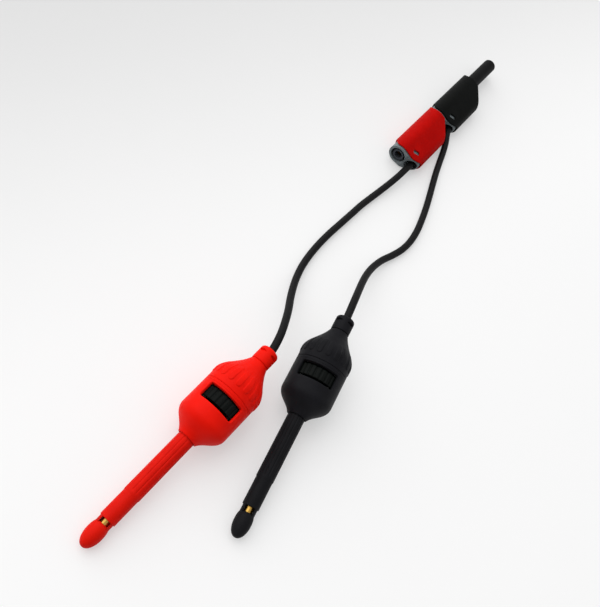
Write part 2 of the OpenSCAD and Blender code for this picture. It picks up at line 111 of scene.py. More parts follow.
def on_probe(colour, s):
    return probe_matrix(colour) @ Vector((0, 0, s * MM))


# ------------------------------------------------------------------ cables

CABLE_R = 1.85
CORD_S = 88.0             # where the cable meets the contact socket
STRAIGHT_S = 94.45        # it runs straight to here, just past the collar
PLUG_X = -4.35
HOLE_X = 4.35             # the cable hole of both plugs
HOLE_Z = 5.0
PLUG_Y = {"red": -64.1, "black": -22.7}
CRIMP_Y = 20.0
STRAIGHT_Y = 8.0          # the last straight stretch starts here, inside the plug
ROUTES = {
    "red": [
        [17.5, -203, 18], [15, -195.5, 16], [12, -187.5, 12.6], [9, -180.5, 9],
        [6.2, -173.5, 6], [3.6, -166, 3.6], [1.5, -158, 2.2], [0.2, -149.5, 1.86],
        [-0.4, -140.5, 1.86], [-0.4, -131.5, 1.86], [0, -122.5, 1.86],
        [0.4, -113.5, 1.86], [0.8, -104.5, 1.86], [1.7, -95.5, 1.9],
        [2.7, -87, 2.4], [3.6, -79, 3.4], [4.2, -71, 4.6]],
    "black": [
        [31.4, -162, 17.2], [29.9, -154.5, 14.4], [28.5, -146.5, 11],
        [27.6, -138.5, 7.6], [27.6, -130.5, 4.8], [28.7, -122.5, 2.9],
        [30.9, -115, 2], [32.7, -107.5, 1.86], [33.1, -99.5, 1.86],
        [32, -91, 1.86], [29.8, -82.5, 1.86], [27.1, -74, 1.86],
        [24, -65.5, 1.86], [20.9, -57.5, 1.86], [17.9, -49.5, 1.95],
        [15.2, -41.5, 2], [12.9, -34.6, 2.4], [10.2, -28.4, 3.4],
        [6.3, -21.6, 4.8]]}


def whole_route(colour):
    inside = [Vector((HOLE_X, PLUG_Y[colour] + y, HOLE_Z)) * MM for y in (STRAIGHT_Y, CRIMP_Y)]
    return ([on_probe(colour, CORD_S), on_probe(colour, STRAIGHT_S)]
            + [Vector(point) * MM for point in ROUTES[colour]] + inside)


def spline_length(spline):
    length = 0.0
    for here, there in zip(spline.bezier_points, spline.bezier_points[1:]):
        steps = 24
        last = here.co
        for i in range(1, steps + 1):
            t, u = i / steps, 1 - i / steps
            point = (u ** 3 * here.co + 3 * u * u * t * here.handle_right
                     + 3 * u * t * t * there.handle_left + t ** 3 * there.co)
            length += (point - last).length
            last = point
    return length


def make_cable(colour):
    """A smooth spline through the route's points, its handles along the neighbours' chord."""
    points = whole_route(colour)
    data = bpy.data.curves.new(colour + "_cable", "CURVE")
    data.dimensions = "3D"
    data.bevel_depth = CABLE_R * MM
    data.bevel_resolution = 7
    data.resolution_u = 8
    data.use_fill_caps = True
    spline = data.splines.new("BEZIER")
    spline.bezier_points.add(len(points) - 1)
    for i, knot in enumerate(spline.bezier_points):
        before, after = points[max(i - 1, 0)], points[min(i + 1, len(points) - 1)]
        along = (after - before).normalized()
        knot.handle_left_type = knot.handle_right_type = "FREE"
        knot.co = points[i]
        knot.handle_left = points[i] - along * (points[i] - before).length / 3
        knot.handle_right = points[i] + along * (after - points[i]).length / 3
    cable = bpy.data.objects.new(colour + "_cable", data)
    bpy.context.scene.collection.objects.link(cable)
    return cable, points[0], spline_length(spline)


cables = {colour: make_cable(colour) for colour in COLOURS}

# ------------------------------------------------------------------ materials


class Nodes:
    """Short ways to build in a node tree."""

    def __init__(self, tree):
        self.tree = tree

    def add(self, kind, **values):
        node = self.tree.nodes.new(kind)
        for key, value in values.items():
            setattr(node, key, value)
        return node

    def link(self, a, b):
        self.tree.links.new(a, b)

    def math(self, operation, *inputs):
        """A math node, each of its inputs a socket or a plain number."""
        node = self.add("ShaderNodeMath", operation=operation)
        for socket, value in zip(node.inputs, inputs):
            if isinstance(value, float):
                socket.default_value = value
            else:
                self.link(value, socket)
        return node.outputs["Value"]

    def along(self, where, direction):
        """How far a vector reaches in a direction."""
        node = self.add("ShaderNodeVectorMath", operation="DOT_PRODUCT")
        self.link(where, node.inputs[0])
        node.inputs[1].default_value = direction
        return node.outputs["Value"]

    def seen(self):
        """1 for rays from the camera, off a glossy surface or through glass, 0 for others."""
        rays = self.add("ShaderNodeLightPath").outputs
        either = self.math("MAXIMUM", rays["Is Camera Ray"], rays["Is Glossy Ray"])
        return self.math("MAXIMUM", either, rays["Is Transmission Ray"])


class Paint(Nodes):
    """A node material: object coordinates go through noises into a principled shader."""

    def __init__(self, name):
        self.material = bpy.data.materials.new(name)
        self.material.use_nodes = True
        super().__init__(self.material.node_tree)
        self.shader = self.tree.nodes["Principled BSDF"]
        self.where = self.add("ShaderNodeTexCoord").outputs["Object"]

    def noise(self, per_mm, detail=3.0, rough=0.55, stretch=(1, 1, 1)):
        mapping = self.add("ShaderNodeMapping")
        mapping.inputs["Scale"].default_value = stretch
        self.link(self.where, mapping.inputs["Vector"])
        noise = self.add("ShaderNodeTexNoise")
        noise.inputs["Scale"].default_value = per_mm / MM
        noise.inputs["Detail"].default_value = detail
        noise.inputs["Roughness"].default_value = rough
        self.link(mapping.outputs["Vector"], noise.inputs["Vector"])
        return noise.outputs["Fac"]

    def ramp(self, source, low, high, at=(0.3, 0.7)):
        """Turns a noise into a colour or, with plain numbers, into a grey value."""
        ramp = self.add("ShaderNodeValToRGB")
        self.link(source, ramp.inputs["Fac"])
        for element, place, value in zip(ramp.color_ramp.elements, at, (low, high)):
            element.position = place
            element.color = (*value, 1) if hasattr(value, "__len__") else (value,) * 3 + (1,)
        return ramp.outputs["Color"]

    def colour(self, source, low, high, at=(0.3, 0.7)):
        self.link(self.ramp(source, low, high, at), self.shader.inputs["Base Color"])

    def roughness(self, source, low, high, at=(0.3, 0.7)):
        self.link(self.ramp(source, low, high, at), self.shader.inputs["Roughness"])

    def bumps(self, *layers):
        """Each layer is (height source, strength, depth in millimetres)."""
        normal = None
        for source, strength, depth in layers:
            bump = self.add("ShaderNodeBump")
            bump.inputs["Strength"].default_value = strength
            bump.inputs["Distance"].default_value = depth * MM
            self.link(source, bump.inputs["Height"])
            if normal:
                self.link(normal, bump.inputs["Normal"])
            normal = bump.outputs["Normal"]
        self.link(normal, self.shader.inputs["Normal"])

    def set(self, **values):
        for key, value in values.items():
            self.shader.inputs[key.replace("_", " ")].default_value = value


def moulded(name, dark, light, rough=(0.42, 0.56), grain=5.0, grain_depth=0.02, specular=0.055):
    """Moulded plastic: faint clouding, spark-eroded grain, and handling marks in the gloss."""
    paint = Paint(name)
    paint.colour(paint.noise(0.12, 4.0), dark, light)
    paint.roughness(paint.noise(0.5, 5.0, 0.7), *rough)
    paint.bumps((paint.noise(grain, 2.0), 0.5, grain_depth),
                (paint.noise(0.35, 2.0), 0.25, 0.06))
    paint.set(Specular_IOR_Level=specular)
    return paint.material


def metal(name, dark, light, rough, stretch=(1, 1, 1), depth=0.008):
    """Turned or rolled metal: fine tool marks, stretched round the work, and light tarnish."""
    paint = Paint(name)
    paint.colour(paint.noise(0.4, 4.0), dark, light)
    paint.roughness(paint.noise(2.0, 3.0), *rough)
    paint.bumps((paint.noise(6.0, 2.0, stretch=stretch), 0.6, depth))
    paint.set(Metallic=1.0)
    return paint.material


def jacket(name):
    """Soft cable jacket: a dull skin with drawn streaks, dust and a faint sheen."""
    paint = Paint(name)
    paint.colour(paint.noise(0.6, 5.0, 0.65), (0.0032, 0.0032, 0.0036), (0.007, 0.007, 0.0075))
    paint.roughness(paint.noise(1.2, 4.0), 0.42, 0.6)
    paint.bumps((paint.noise(3.0, 3.0), 0.35, 0.02), (paint.noise(0.25, 1.0), 0.3, 0.08))
    paint.set(Specular_IOR_Level=0.1)
    return paint.material


MATERIALS = {
    "red_plastic": moulded("red_plastic", (0.76, 0.0058, 0.0012), (0.84, 0.0082, 0.0022)),
    "red_front": moulded("red_front", (0.62, 0.0058, 0.0014), (0.70, 0.0082, 0.0024)),
    "black_front": moulded("black_front", (0.0058, 0.0058, 0.0068), (0.0090, 0.0090, 0.0105)),
    "black_plastic": moulded("black_plastic", (0.0062, 0.0062, 0.0076), (0.0095, 0.0095, 0.0115)),
    "wheel_plastic": moulded("wheel_plastic", (0.0025, 0.0032, 0.0028), (0.004, 0.0052, 0.0046)),
    "red_plug": moulded("red_plug", (0.39, 0.0014, 0.0007), (0.475, 0.0024, 0.0012), specular=0.02),
    "black_plug": moulded("black_plug", (0.0022, 0.0026, 0.0024), (0.0038, 0.0043, 0.004), specular=0.03),
    "shroud_plastic": moulded("shroud_plastic", (0.0020, 0.0020, 0.0022), (0.0036, 0.0036, 0.0040)),
    "grey_plastic": moulded("grey_plastic", (0.14, 0.165, 0.175), (0.175, 0.20, 0.21), specular=0.2),
    # The liner is a darker grey than the grey plastic: partly its own darker sleeve, partly painted shade
    # of the socket's recess.
    "liner": moulded("liner", (0.045, 0.050, 0.060), (0.060, 0.066, 0.078)),
    "nylon": moulded("nylon", (0.010, 0.010, 0.010), (0.016, 0.016, 0.016)),
    "cable_jacket": jacket("cable_jacket"),
    "brass": metal("brass", (0.40, 0.235, 0.05), (0.50, 0.31, 0.075), (0.26, 0.4), (1, 1, 6)),
    "spring_brass": metal("spring_brass", (0.70, 0.46, 0.16), (0.82, 0.56, 0.22), (0.2, 0.32)),
    "steel": metal("steel", (0.58, 0.59, 0.60), (0.70, 0.71, 0.72), (0.24, 0.36)),
}


def paint(piece, slot):
    piece.data.materials.clear()
    piece.data.materials.append(MATERIALS[slot])


SLOTS = {part["node"]: part["material_slot"] for part in frame["record"]["subparts"]}
for node, piece in nodes.items():
    paint(piece, SLOTS[node])

# ------------------------------------------------------------------ mesh helpers


def smooth(t):
    """0 below 0, 1 above 1 and an easy curve between."""
    t = min(max(t, 0.0), 1.0)
    return t * t * (3 - 2 * t)


def bezier(a, b, c, d, steps=14):
    """Points of a cubic curve from a to d, with b and c pulling it."""
    a, b, c, d = Vector(a), Vector(b), Vector(c), Vector(d)
    found = []
    for i in range(steps + 1):
        t, u = i / steps, 1 - i / steps
        found.append(u ** 3 * a + 3 * u * u * t * b + 3 * u * t * t * c + t ** 3 * d)
    return found


def rounded(corners, steps=5, closed=True):
    """A profile whose corners, written (s, r, fillet), are rounded off by their fillets."""
    found = []
    count = len(corners)
    for i, (s, r, fillet) in enumerate(corners):
        here = Vector((s, r))
        if fillet == 0 or (not closed and i in (0, count - 1)):
            found.append(here)
            continue
        before = (Vector(corners[i - 1][:2]) - here).normalized()
        after = (Vector(corners[(i + 1) % count][:2]) - here).normalized()
        half = before.angle(after) / 2
        if half > math.radians(89.5):
            found.append(here)
            continue
        reach = fillet / math.tan(half)
        centre = here + (before + after).normalized() * fillet / math.sin(half)
        start, end = here + before * reach - centre, here + after * reach - centre
        sweep = start.angle(end)
        for k in range(steps + 1):
            t = k / steps
            found.append(centre + (start * math.sin((1 - t) * sweep)
                                   + end * math.sin(t * sweep)) / math.sin(sweep))
    return found


def round_from(angle, count, r, first=0.0):
    """Distance round a circle of radius r from the nearest of count places. The places start at
    angle 0, or a share of their spacing further on."""
    return ((angle / (2 * math.pi) * count + 0.5 - first) % 1 - 0.5) * 2 * math.pi * r / count


def spaced(low, high, edges, fine, coarse, reach):
    """Values from low to high, close together within reach of each edge."""
    found = [low]
    while found[-1] < high - fine / 2:
        near = any(abs(found[-1] - edge) <= reach for edge in edges)
        ahead = [edge - reach for edge in edges if edge - reach > found[-1] + 1e-6]
        step = fine if near else min([coarse] + [a - found[-1] for a in ahead])
        found.append(min(found[-1] + max(step, fine / 2), high))
    return found


def link_mesh(name, verts, faces, matrix):
    """A welded, smooth mesh object from points in millimetres."""
    mesh = bpy.data.meshes.new(name)
    mesh.from_pydata([Vector(v) * MM for v in verts], [], faces)
    build = bmesh.new()
    build.from_mesh(mesh)
    bmesh.ops.remove_doubles(build, verts=build.verts, dist=2e-4 * MM)
    bmesh.ops.recalc_face_normals(build, faces=build.faces)
    for face in build.faces:
        face.smooth = True
    build.to_mesh(mesh)
    build.free()
    piece = bpy.data.objects.new(name, mesh)
    bpy.context.scene.collection.objects.link(piece)
    piece.matrix_world = matrix
    weigh = piece.modifiers.new("weighted_normals", "WEIGHTED_NORMAL")
    weigh.weight = 80
    return piece


def woven(rows, closed=True, gone=None):
    """Quads between rows of points that each close on themselves; gone marks cut-out points."""
    count = len(rows[0])
    faces = []
    for i in range(len(rows) if closed else len(rows) - 1):
        below, above = i * count, (i + 1) % len(rows) * count
        for k in range(count):
            n = (k + 1) % count
            face = [below + k, below + n, above + n, above + k]
            if gone is None or not all(gone[v] for v in face):
                faces.append(face)
    return faces


def turned(name, colour, profile, columns=128, relief=None, skin=0, bore=None, slide=0.0,
           closed=True, more=()):
    """A turned piece of a probe. relief(s, angle) raises the first skin points, and bore the
    others, in millimetres. more holds further closed solids, each as its points and faces."""
    rows = []
    for i, (s, r) in enumerate(profile):
        raise_by = relief if i < skin else bore
        row = []
        for k in range(columns):
            angle = 2 * math.pi * k / columns
            reach = r + (raise_by(s, angle) if raise_by else 0)
            row.append((-reach * math.cos(angle), reach * math.sin(angle), s))
        rows.append(row)
    verts = [point for row in rows for point in row]
    faces = woven(rows, closed)
    for points, sides in more:
        faces += [[v + len(verts) for v in side] for side in sides]
        verts += points
    return link_mesh(name, verts, faces, probe_matrix(colour, slide))


def dress(piece, colour, part, look=None):
    """The piece stands for a part's CAD node, on the body that carries it."""
    node = colour + "_" + part
    slot = SLOTS[node]
    paint(piece, look or slot)
    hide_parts(node)
    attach(piece, nodes[node]["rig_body"])
    return piece


class Window:
    """A rounded rectangle on a surface: half sizes and corner radius in millimetres."""

    def __init__(self, u, v, half_u, half_v, corner, turn=0.0):
        self.u, self.v, self.half, self.corner = u, v, (half_u, half_v), corner
        self.cos, self.sin = math.cos(turn), math.sin(turn)

    def look(self, u, v):
        """Signed distance to the edge, and the edge's nearest point."""
        du, dv = u - self.u, v - self.v
        x, y = du * self.cos + dv * self.sin, dv * self.cos - du * self.sin
        qx, qy = (abs(x) - self.half[0] + self.corner, abs(y) - self.half[1] + self.corner)
        if qx > 0 and qy > 0:
            size = math.hypot(qx, qy)
            ex = self.half[0] - self.corner + qx / size * self.corner
            ey = self.half[1] - self.corner + qy / size * self.corner
            away = size - self.corner
        elif qx > qy:
            ex, ey, away = self.half[0], abs(y), qx - self.corner
        else:
            ex, ey, away = abs(x), self.half[1], qy - self.corner
        ex, ey = math.copysign(ex, x), math.copysign(ey, y)
        return (away, self.u + ex * self.cos - ey * self.sin,
                self.v + ex * self.sin + ey * self.cos)


def lip(away, side, thick, edge, run):
    """How far a skin point drops at a signed distance from a window's edge. The outer skin
    (side 1) turns down over a rounded edge, and the inner one comes up to meet it halfway."""
    depth = min(max(-away / run, 0.0), 1.0)
    if side == 2:
        return thick - thick / 2 * depth
    fall = edge - math.sqrt(max(edge ** 2 - (edge - max(away, 0)) ** 2, 0))
    return fall + (thick / 2 - edge) * depth


def pierced(rows, us, place, thick, windows, edge, run):
    """Rows are (v, drop, side): side 0 is a rim, 1 the outer skin and 2 the inner skin.
    place(u, v, drop) is the point that lies drop below the surface. Points inside a window
    move to its edge and down its wall, and those more than run inside are gone."""
    verts, gone = [], []
    for v, drop, side in rows:
        for u in us:
            looks = [w.look(u, v) for w in windows] if side else []
            away, eu, ev = min(looks) if looks else (edge, u, v)
            if away >= edge:
                verts.append(place(u, v, drop))
                gone.append(False)
                continue
            at_u, at_v = (eu, ev) if away < 0 else (u, v)
            verts.append(place(at_u, at_v, lip(away, side, thick, edge, run)))
            gone.append(away <= -run)
    return verts, gone


# ------------------------------------------------------------------ probe pieces
# S is a place along a probe, counted from the barrel's rim, and R a radius, in millimetres.

SNUG, RUN_GAP = 0.02, 0.05
TIP_R, TIP_LEN, TIP_BELLY, TIP_ROOT = 3.85, 10.8, 0.39, 0.8
PLAIN_R, FLUTED_R, PLAIN_LEN = 3.75, 3.95, 12.2
FLUTES, FLUTE_HALF, FLUTE_DEPTH, FLUTE_RUNOUT = 12, 0.5, 0.22, 1.6
SPINDLE_R, SLEEVE_R = 1.95, 2.62
ARM_R, ARM_HALF, ARM_START, ARM_END, POCKET_END = 3.3, 2.0, -1.2, 11.5, 13.4
NOSE_S, NOSE_R, BULB_S, BULB_R, CAVITY_R = 42.5, 4.75, 52.4, 12.0, 10.8
BOSS_S, CAVITY_S, THROAT_S = 45.4, 54.0, 51.5
WINDOW_S0, WINDOW_S1, WINDOW_HALF, WINDOW_CORNER = 57.3, 64.5, 46.0, 1.1
SEAM_S, BAND_W = 65.45, 1.3
CAP_S, DOME_S, NECK_S, NECK_R = SEAM_S + BAND_W + RUN_GAP, 71.6, 86.1, 4.35
RIBS, RIB_S0, RIB_S1, RIB_HALF = 18, 69.6, 78.0, 1.2
RIB_H, RIB_FADE, RIB_FLANK = 0.32, 0.6, 0.28
WHEEL_S, WHEEL_R, WHEEL_W, WHEEL_RIBS = 61.3, 10.5, 5.5, 24
GROOVE_DEPTH, GROOVE_HALF, GROOVE_FLANK = 0.42, 0.75, 0.65
HUB_S0, HUB_S1, HUB_R, HUB_BORE_R = 57.4, 64.5, 6.0, 4.25
COLLAR_S, COLLAR_END, COLLAR_R = 86.4, 93.95, 4.45
SLOT_S, SLOT_HALF, SLOT_W, SLOT_DEPTH = 91.2, 2.2, 0.62, 1.1


def tip_arm(side):
    """One of the tip's side arms: a segment of a rod, with its flat towards the spindle."""
    start = math.asin(ARM_HALF / ARM_R)
    section = [(ARM_R * math.cos(a), side * ARM_R * math.sin(a))
               for a in (start + (math.pi - 2 * start) * i / 24 for i in range(25))]
    count = len(section)
    points = [(x, y, s) for s in (ARM_START, ARM_END) for x, y in section]
    sides = [[k, (k + 1) % count, (k + 1) % count + count, k + count] for k in range(count)]
    return points, sides + [list(range(count)), list(range(count, 2 * count))]


def make_tip(colour):
    """An egg that is thickest near its rear end, with a recess for the spindle."""
    belly = -TIP_BELLY * TIP_LEN
    hole_r = SPINDLE_R + RUN_GAP
    profile = bezier((-TIP_LEN, 0), (-TIP_LEN, 2.6), (-0.68 * TIP_LEN, TIP_R), (belly, TIP_R), 26)
    profile += bezier((belly, TIP_R), (-1.6, TIP_R), (0, 3.3), (0, 2.5), 16)[1:]
    profile += [Vector((0, hole_r)), Vector((-TIP_ROOT, hole_r)), Vector((-TIP_ROOT, 0))]
    piece = turned(colour + "_tip", colour, profile, 112, slide=TIP_GAP[colour], closed=False,
                   more=[tip_arm(1), tip_arm(-1)])
    dress(piece, colour, "tip_cap", colour + "_front")


def make_barrel(colour):
    """Plain in front, then fluted lengthwise up to the housing, with pockets for the arms."""
    start = PLAIN_LEN + 1.0
    pocket_r = ARM_R + RUN_GAP

    def flute(s, angle):
        across = abs(round_from(angle, FLUTES, FLUTED_R, 0.5))
        cut = FLUTE_DEPTH * (1 - smooth(across / FLUTE_HALF))
        return -cut * smooth((s - start) / FLUTE_RUNOUT)

    def pocket(s, angle):
        inside = s < POCKET_END and abs(math.sin(angle)) > (ARM_HALF - RUN_GAP) / pocket_r
        return pocket_r - SLEEVE_R if inside else 0

    corners = [(0, PLAIN_R, 0.4), (PLAIN_LEN, PLAIN_R, 0), (PLAIN_LEN + 0.5, FLUTED_R, 0)]
    outer = rounded([(0, SLEEVE_R, 0)] + corners, closed=False)[1:]
    outer += [Vector((start + 0.2 * i, FLUTED_R)) for i in range(1, 9)]
    outer += [Vector((s, FLUTED_R)) for s in (20, 26, 32, 38, BOSS_S)]
    inner = [Vector((s, SLEEVE_R)) for s in (BOSS_S, POCKET_END, POCKET_END - 0.01, 0)]
    piece = turned(colour + "_barrel_skin", colour, outer + inner, FLUTES * 18, flute, len(outer),
                   pocket)
    dress(piece, colour, "barrel", colour + "_front")


def make_housing(colour):
    """The ogee and the bulb, with a rounded window over and under the wheel."""
    half_v = (WINDOW_S1 - WINDOW_S0) / 2
    half_u = math.radians(WINDOW_HALF) * BULB_R
    middle = (WINDOW_S0 + WINDOW_S1) / 2
    round_trip = 2 * math.pi * BULB_R
    half_turn = round_trip / 2
    windows = [Window(u, middle, half_u, half_v, WINDOW_CORNER)
               for u in (0, half_turn, round_trip)]
    ogee = bezier((NOSE_S + 0.3, NOSE_R + 0.1), (NOSE_S + 4, 7), (BULB_S - 4.6, BULB_R),
                  (BULB_S, BULB_R), 40)

    def surface(s):
        if s >= BULB_S:
            return BULB_R
        for a, b in zip(ogee, ogee[1:]):
            if a.x <= s <= b.x:
                return a.y + (b.y - a.y) * (s - a.x) / max(b.x - a.x, 1e-9)
        return ogee[0].y

    def place(u, s, drop):
        angle = u / BULB_R
        r = surface(s) - drop
        return (-r * math.cos(angle), r * math.sin(angle), s)

    edges = (WINDOW_S0, WINDOW_S1)
    rim = 0.1
    skin = spaced(BULB_S, SEAM_S - rim, edges, 0.11, 0.5, 1.1)
    outer = [(NOSE_S, 0.35, 0), (NOSE_S + 0.08, 0.12, 0)] + [(p.x, 0.0, 0) for p in ogee[:-1]]
    outer += [(s, 0.0, 1) for s in skin]
    turn = [(SEAM_S - rim * (1 - math.sin(a)), rim * (1 - math.cos(a)), 0)
            for a in (math.radians(x) for x in (20, 45, 70, 90))]
    wall = BULB_R - CAVITY_R
    inner = [(s, wall, 2) for s in reversed(skin) if s > CAVITY_S + 0.5]
    bore = [(s, surface(s) - r, 0) for s, r in (
        (CAVITY_S, CAVITY_R), (THROAT_S, 8.6), (THROAT_S, 5.6), (NOSE_S, 4.0))]
    rows = outer + turn + [(SEAM_S, wall, 0)] + inner + bore
    us = spaced(0, half_turn, (half_u, half_turn - half_u), 0.13, 0.5, 1.2)[:-1]
    us += [u + half_turn for u in us]
    verts, gone = pierced(rows, us, place, wall, windows, 0.4, 0.5)
    faces = woven([us] * len(rows), True, gone)
    piece = link_mesh(colour + "_housing", verts, faces, probe_matrix(colour))
    dress(piece, colour, "front_housing")


def make_ring(colour):
    """The band between housing and cap, with a lip that reaches into both."""
    front, back = SEAM_S + SNUG, SEAM_S + BAND_W
    lip_front, lip_back = SEAM_S - 1, back + 2
    lip_r, bore_r = CAVITY_R - RUN_GAP, CAVITY_R - 1.2
    corners = [(front, BULB_R, 0.08), (back, BULB_R, 0.3), (back, lip_r, 0), (lip_back, lip_r, 0),
               (lip_back, bore_r, 0), (lip_front, bore_r, 0), (lip_front, lip_r, 0),
               (front, lip_r, 0)]
    piece = turned(colour + "_band", colour, rounded(corners), 160)
    dress(piece, colour, "lock_ring")


def make_cap(colour):
    """The rear cap, with raised oval grip ribs that sink into its dome."""
    def rib(s, angle):
        across = round_from(angle, RIBS, BULB_R)
        along = s - min(max(s, RIB_S0 + RIB_HALF), RIB_S1 - RIB_HALF)
        away = math.hypot(across, along) - RIB_HALF
        full_to = RIB_S0 + 1.5
        fading = smooth((s - full_to) / (RIB_S1 - full_to))
        height = RIB_H * (1 - RIB_FADE * fading)
        return height * smooth((0.1 - away) / RIB_FLANK) if RIB_S0 - 1 < s < RIB_S1 + 1 else 0

    dome = bezier((DOME_S, BULB_R), (DOME_S + 5, BULB_R), (DOME_S + 8.2, 6.7), (NECK_S, NECK_R), 44)
    outer = rounded([(CAP_S, BULB_R - 0.8, 0), (CAP_S, BULB_R, 0.3), (DOME_S, BULB_R, 0)],
                    closed=False)[:-1]
    outer += [Vector((s, BULB_R)) for s in spaced(CAP_S + 0.4, DOME_S, (RIB_S0 + 0.6,), 0.14, 0.4, 1)]
    outer += dome[1:]
    inner = [Vector((NECK_S, 3)), Vector((DOME_S + 8, 4.2)), Vector((DOME_S + 3, CAVITY_R - 1)),
             Vector((DOME_S - 1, CAVITY_R)), Vector((CAP_S, CAVITY_R))]
    piece = turned(colour + "_cap", colour, outer + inner, RIBS * 28, rib, len(outer))
    dress(piece, colour, "rear_cap")


def make_wheel(colour):
    """Rounded ribs with shallow half-round grooves between them."""
    s0, s1 = WHEEL_S - WHEEL_W / 2, WHEEL_S + WHEEL_W / 2
    web_r, recess = WHEEL_R - 2, 1.2

    def groove(s, angle):
        across = abs(round_from(angle, WHEEL_RIBS, WHEEL_R, 0.5))
        return -GROOVE_DEPTH * smooth((GROOVE_HALF - across) / GROOVE_FLANK)

    outer = rounded([(s0, web_r, 0), (s0, WHEEL_R, 0.5), (s1, WHEEL_R, 0.5), (s1, web_r, 0)],
                    closed=False)
    inner = [Vector((s, r)) for s, r in (
        (s1 - recess, web_r), (s1 - recess, HUB_R), (HUB_S1, HUB_R), (HUB_S1, HUB_BORE_R),
        (HUB_S0, HUB_BORE_R), (HUB_S0, HUB_R), (s0 + recess, HUB_R), (s0 + recess, web_r))]
    piece = turned(colour + "_wheel_knurl", colour, outer + inner, WHEEL_RIBS * 16, groove,
                   len(outer))
    dress(piece, colour, "thumbwheel")


def make_collar(colour):
    """The cable collar: a groove at its root and four lens-shaped slots near its end, each
    bounded by two arcs whose centres lie apart on either side of it."""
    apart = SLOT_HALF ** 2 / (2 * SLOT_W) - SLOT_W / 2
    swing = apart + SLOT_W
    quarter = math.pi / 2 * COLLAR_R
    end_r, root_r, hole_r = 1.5, COLLAR_R - 0.4, CABLE_R + 0.12

    def slot(s, angle):
        u = (angle * COLLAR_R) % quarter - quarter / 2
        v = s - SLOT_S
        away = max(math.hypot(u, v - apart), math.hypot(u, v + apart)) - swing
        return -SLOT_DEPTH * smooth((0.06 - away) / 0.2)

    outer = [Vector((NECK_S, 3.2)), Vector((NECK_S, root_r)), Vector((COLLAR_S - 0.05, root_r))]
    outer += rounded([(COLLAR_S, COLLAR_R - 0.5, 0), (COLLAR_S, COLLAR_R, 0.18), (88, COLLAR_R, 0)],
                     closed=False)[1:]
    straight = spaced(88.4, COLLAR_END - end_r, (SLOT_S,), 0.1, 0.5, 1.3)
    outer += [Vector((s, COLLAR_R)) for s in straight]
    for a in (math.radians(9 * step) for step in range(1, 11)):
        outer.append(Vector((COLLAR_END - end_r + end_r * math.sin(a),
                             COLLAR_R - end_r + end_r * math.cos(a))))
    inner = rounded([(COLLAR_END, COLLAR_R - end_r, 0), (COLLAR_END, hole_r, 0.2),
                     (COLLAR_END - 2, hole_r, 0)], closed=False)[1:]
    inner += [Vector((NECK_S, hole_r))]
    piece = turned(colour + "_collar", colour, outer + inner, 232, slot, len(outer))
    dress(piece, colour, "cable_collar")


for colour in COLOURS:
    make_tip(colour)
    make_barrel(colour)
    make_housing(colour)
    make_ring(colour)
    make_cap(colour)
    make_wheel(colour)
    make_collar(colour)

# ------------------------------------------------------------------ plugs

LOBE1_R, LOBE2_R, LOBE_GAP = 6.64, 5.0, 8.7
BODY_LEN, SKIRT_LEN = 41.1, 4.3
WAVE_TOP, WAVE_SIDE = 0.9, 8.1
CABLE_SIDE_REACH = 1.7    # the rear rim comes this much further back over the cable lobe,
CABLE_SIDE_X = 3.0        # from here on
SHELL_T, SHELL_RIM = 0.65, 0.2
CHAMFER_SUM = 45.8
LATCH_X, LATCH_Y, LATCH_TURN = 6.9, 6.6, 32
LATCH_OVER = 11.0         # a height over the latch window, to find it on the section
LATCH_HALF, LATCH_CORNER, LATCH_EDGE, LATCH_RUN = (2.15, 1.0), 0.4, 0.2, 0.25
TANGENT = math.radians(90) + 2 * math.atan2(LOBE2_R - LOBE1_R, LOBE_GAP)


def outline():
    """Points round the two-lobed section as (x, z), and each one's outward normal."""
    centres = (Vector((0, LOBE1_R)), LOBE1_R, 60), (Vector((LOBE_GAP, LOBE2_R)), LOBE2_R, 44)
    spans = (TANGENT, math.radians(270)), (math.radians(-90), TANGENT)
    arcs = []
    for (centre, r, steps), (a0, a1) in zip(centres, spans):
        normals = [Vector((math.cos(a), math.sin(a)))
                   for a in (a0 + (a1 - a0) * i / steps for i in range(steps + 1))]
        arcs.append([(centre + normal * r, normal) for normal in normals])
    ring = []
    for arc, following, steps in ((arcs[0], arcs[1], 18), (arcs[1], arcs[0], 54)):
        ring += arc
        end, normal = arc[-1]
        ring += [(end.lerp(following[0][0], i / steps), normal) for i in range(1, steps)]
    return ring


def wave(z):
    """How far a wavy rim has come from the top (0) to the sides and the underside (1)."""
    return 1.0 if z < LOBE1_R else 0.5 + 0.5 * math.cos(math.pi * (z - LOBE1_R) / LOBE1_R)


